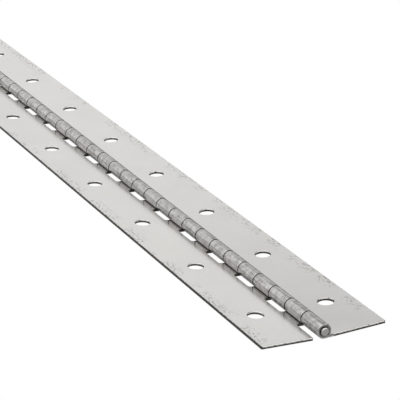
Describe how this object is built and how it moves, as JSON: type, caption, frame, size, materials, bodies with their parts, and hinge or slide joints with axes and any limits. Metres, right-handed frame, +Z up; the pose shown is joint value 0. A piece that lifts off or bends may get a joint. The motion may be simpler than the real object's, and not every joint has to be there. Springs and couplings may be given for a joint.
{
  "type": "piano hinge",
  "caption": "Long continuous hinge: two narrow sheet-steel leaves with round screw holes and interlocking rolled knuckles turning on one full-length pin.",
  "frame": {"origin": "mid length, under the pin's axis, on the back plane of the right leaf", "axes": "+X along the pin towards the end whose last knuckle belongs to the right leaf; +Y from the pin towards the right leaf; +Z up, away from the leaves' backs, the side the barrel stands on"},
  "size_m": [0.3212, 0.0401, 0.0046],
  "materials": {
    "leaf_steel": "cold-rolled satin stainless steel, fine rolling grain along the length, light handling scuffs",
    "pin_steel": "drawn stainless steel rod, cut and chamfered ends"
  },
  "bodies": {
    "right_side": {"right_leaf": "leaf_steel", "hinge_pin": "pin_steel"},
    "left_side": {"left_leaf": "leaf_steel"}
  },
  "joints": [
    {"name": "leaf_hinge", "type": "hinge", "parent": "right_side", "child": "left_side", "pos_m": [0, 0, 0.00228], "axis": [1, 0, 0], "range_deg": [-175.4, 94.6]}
  ]
}
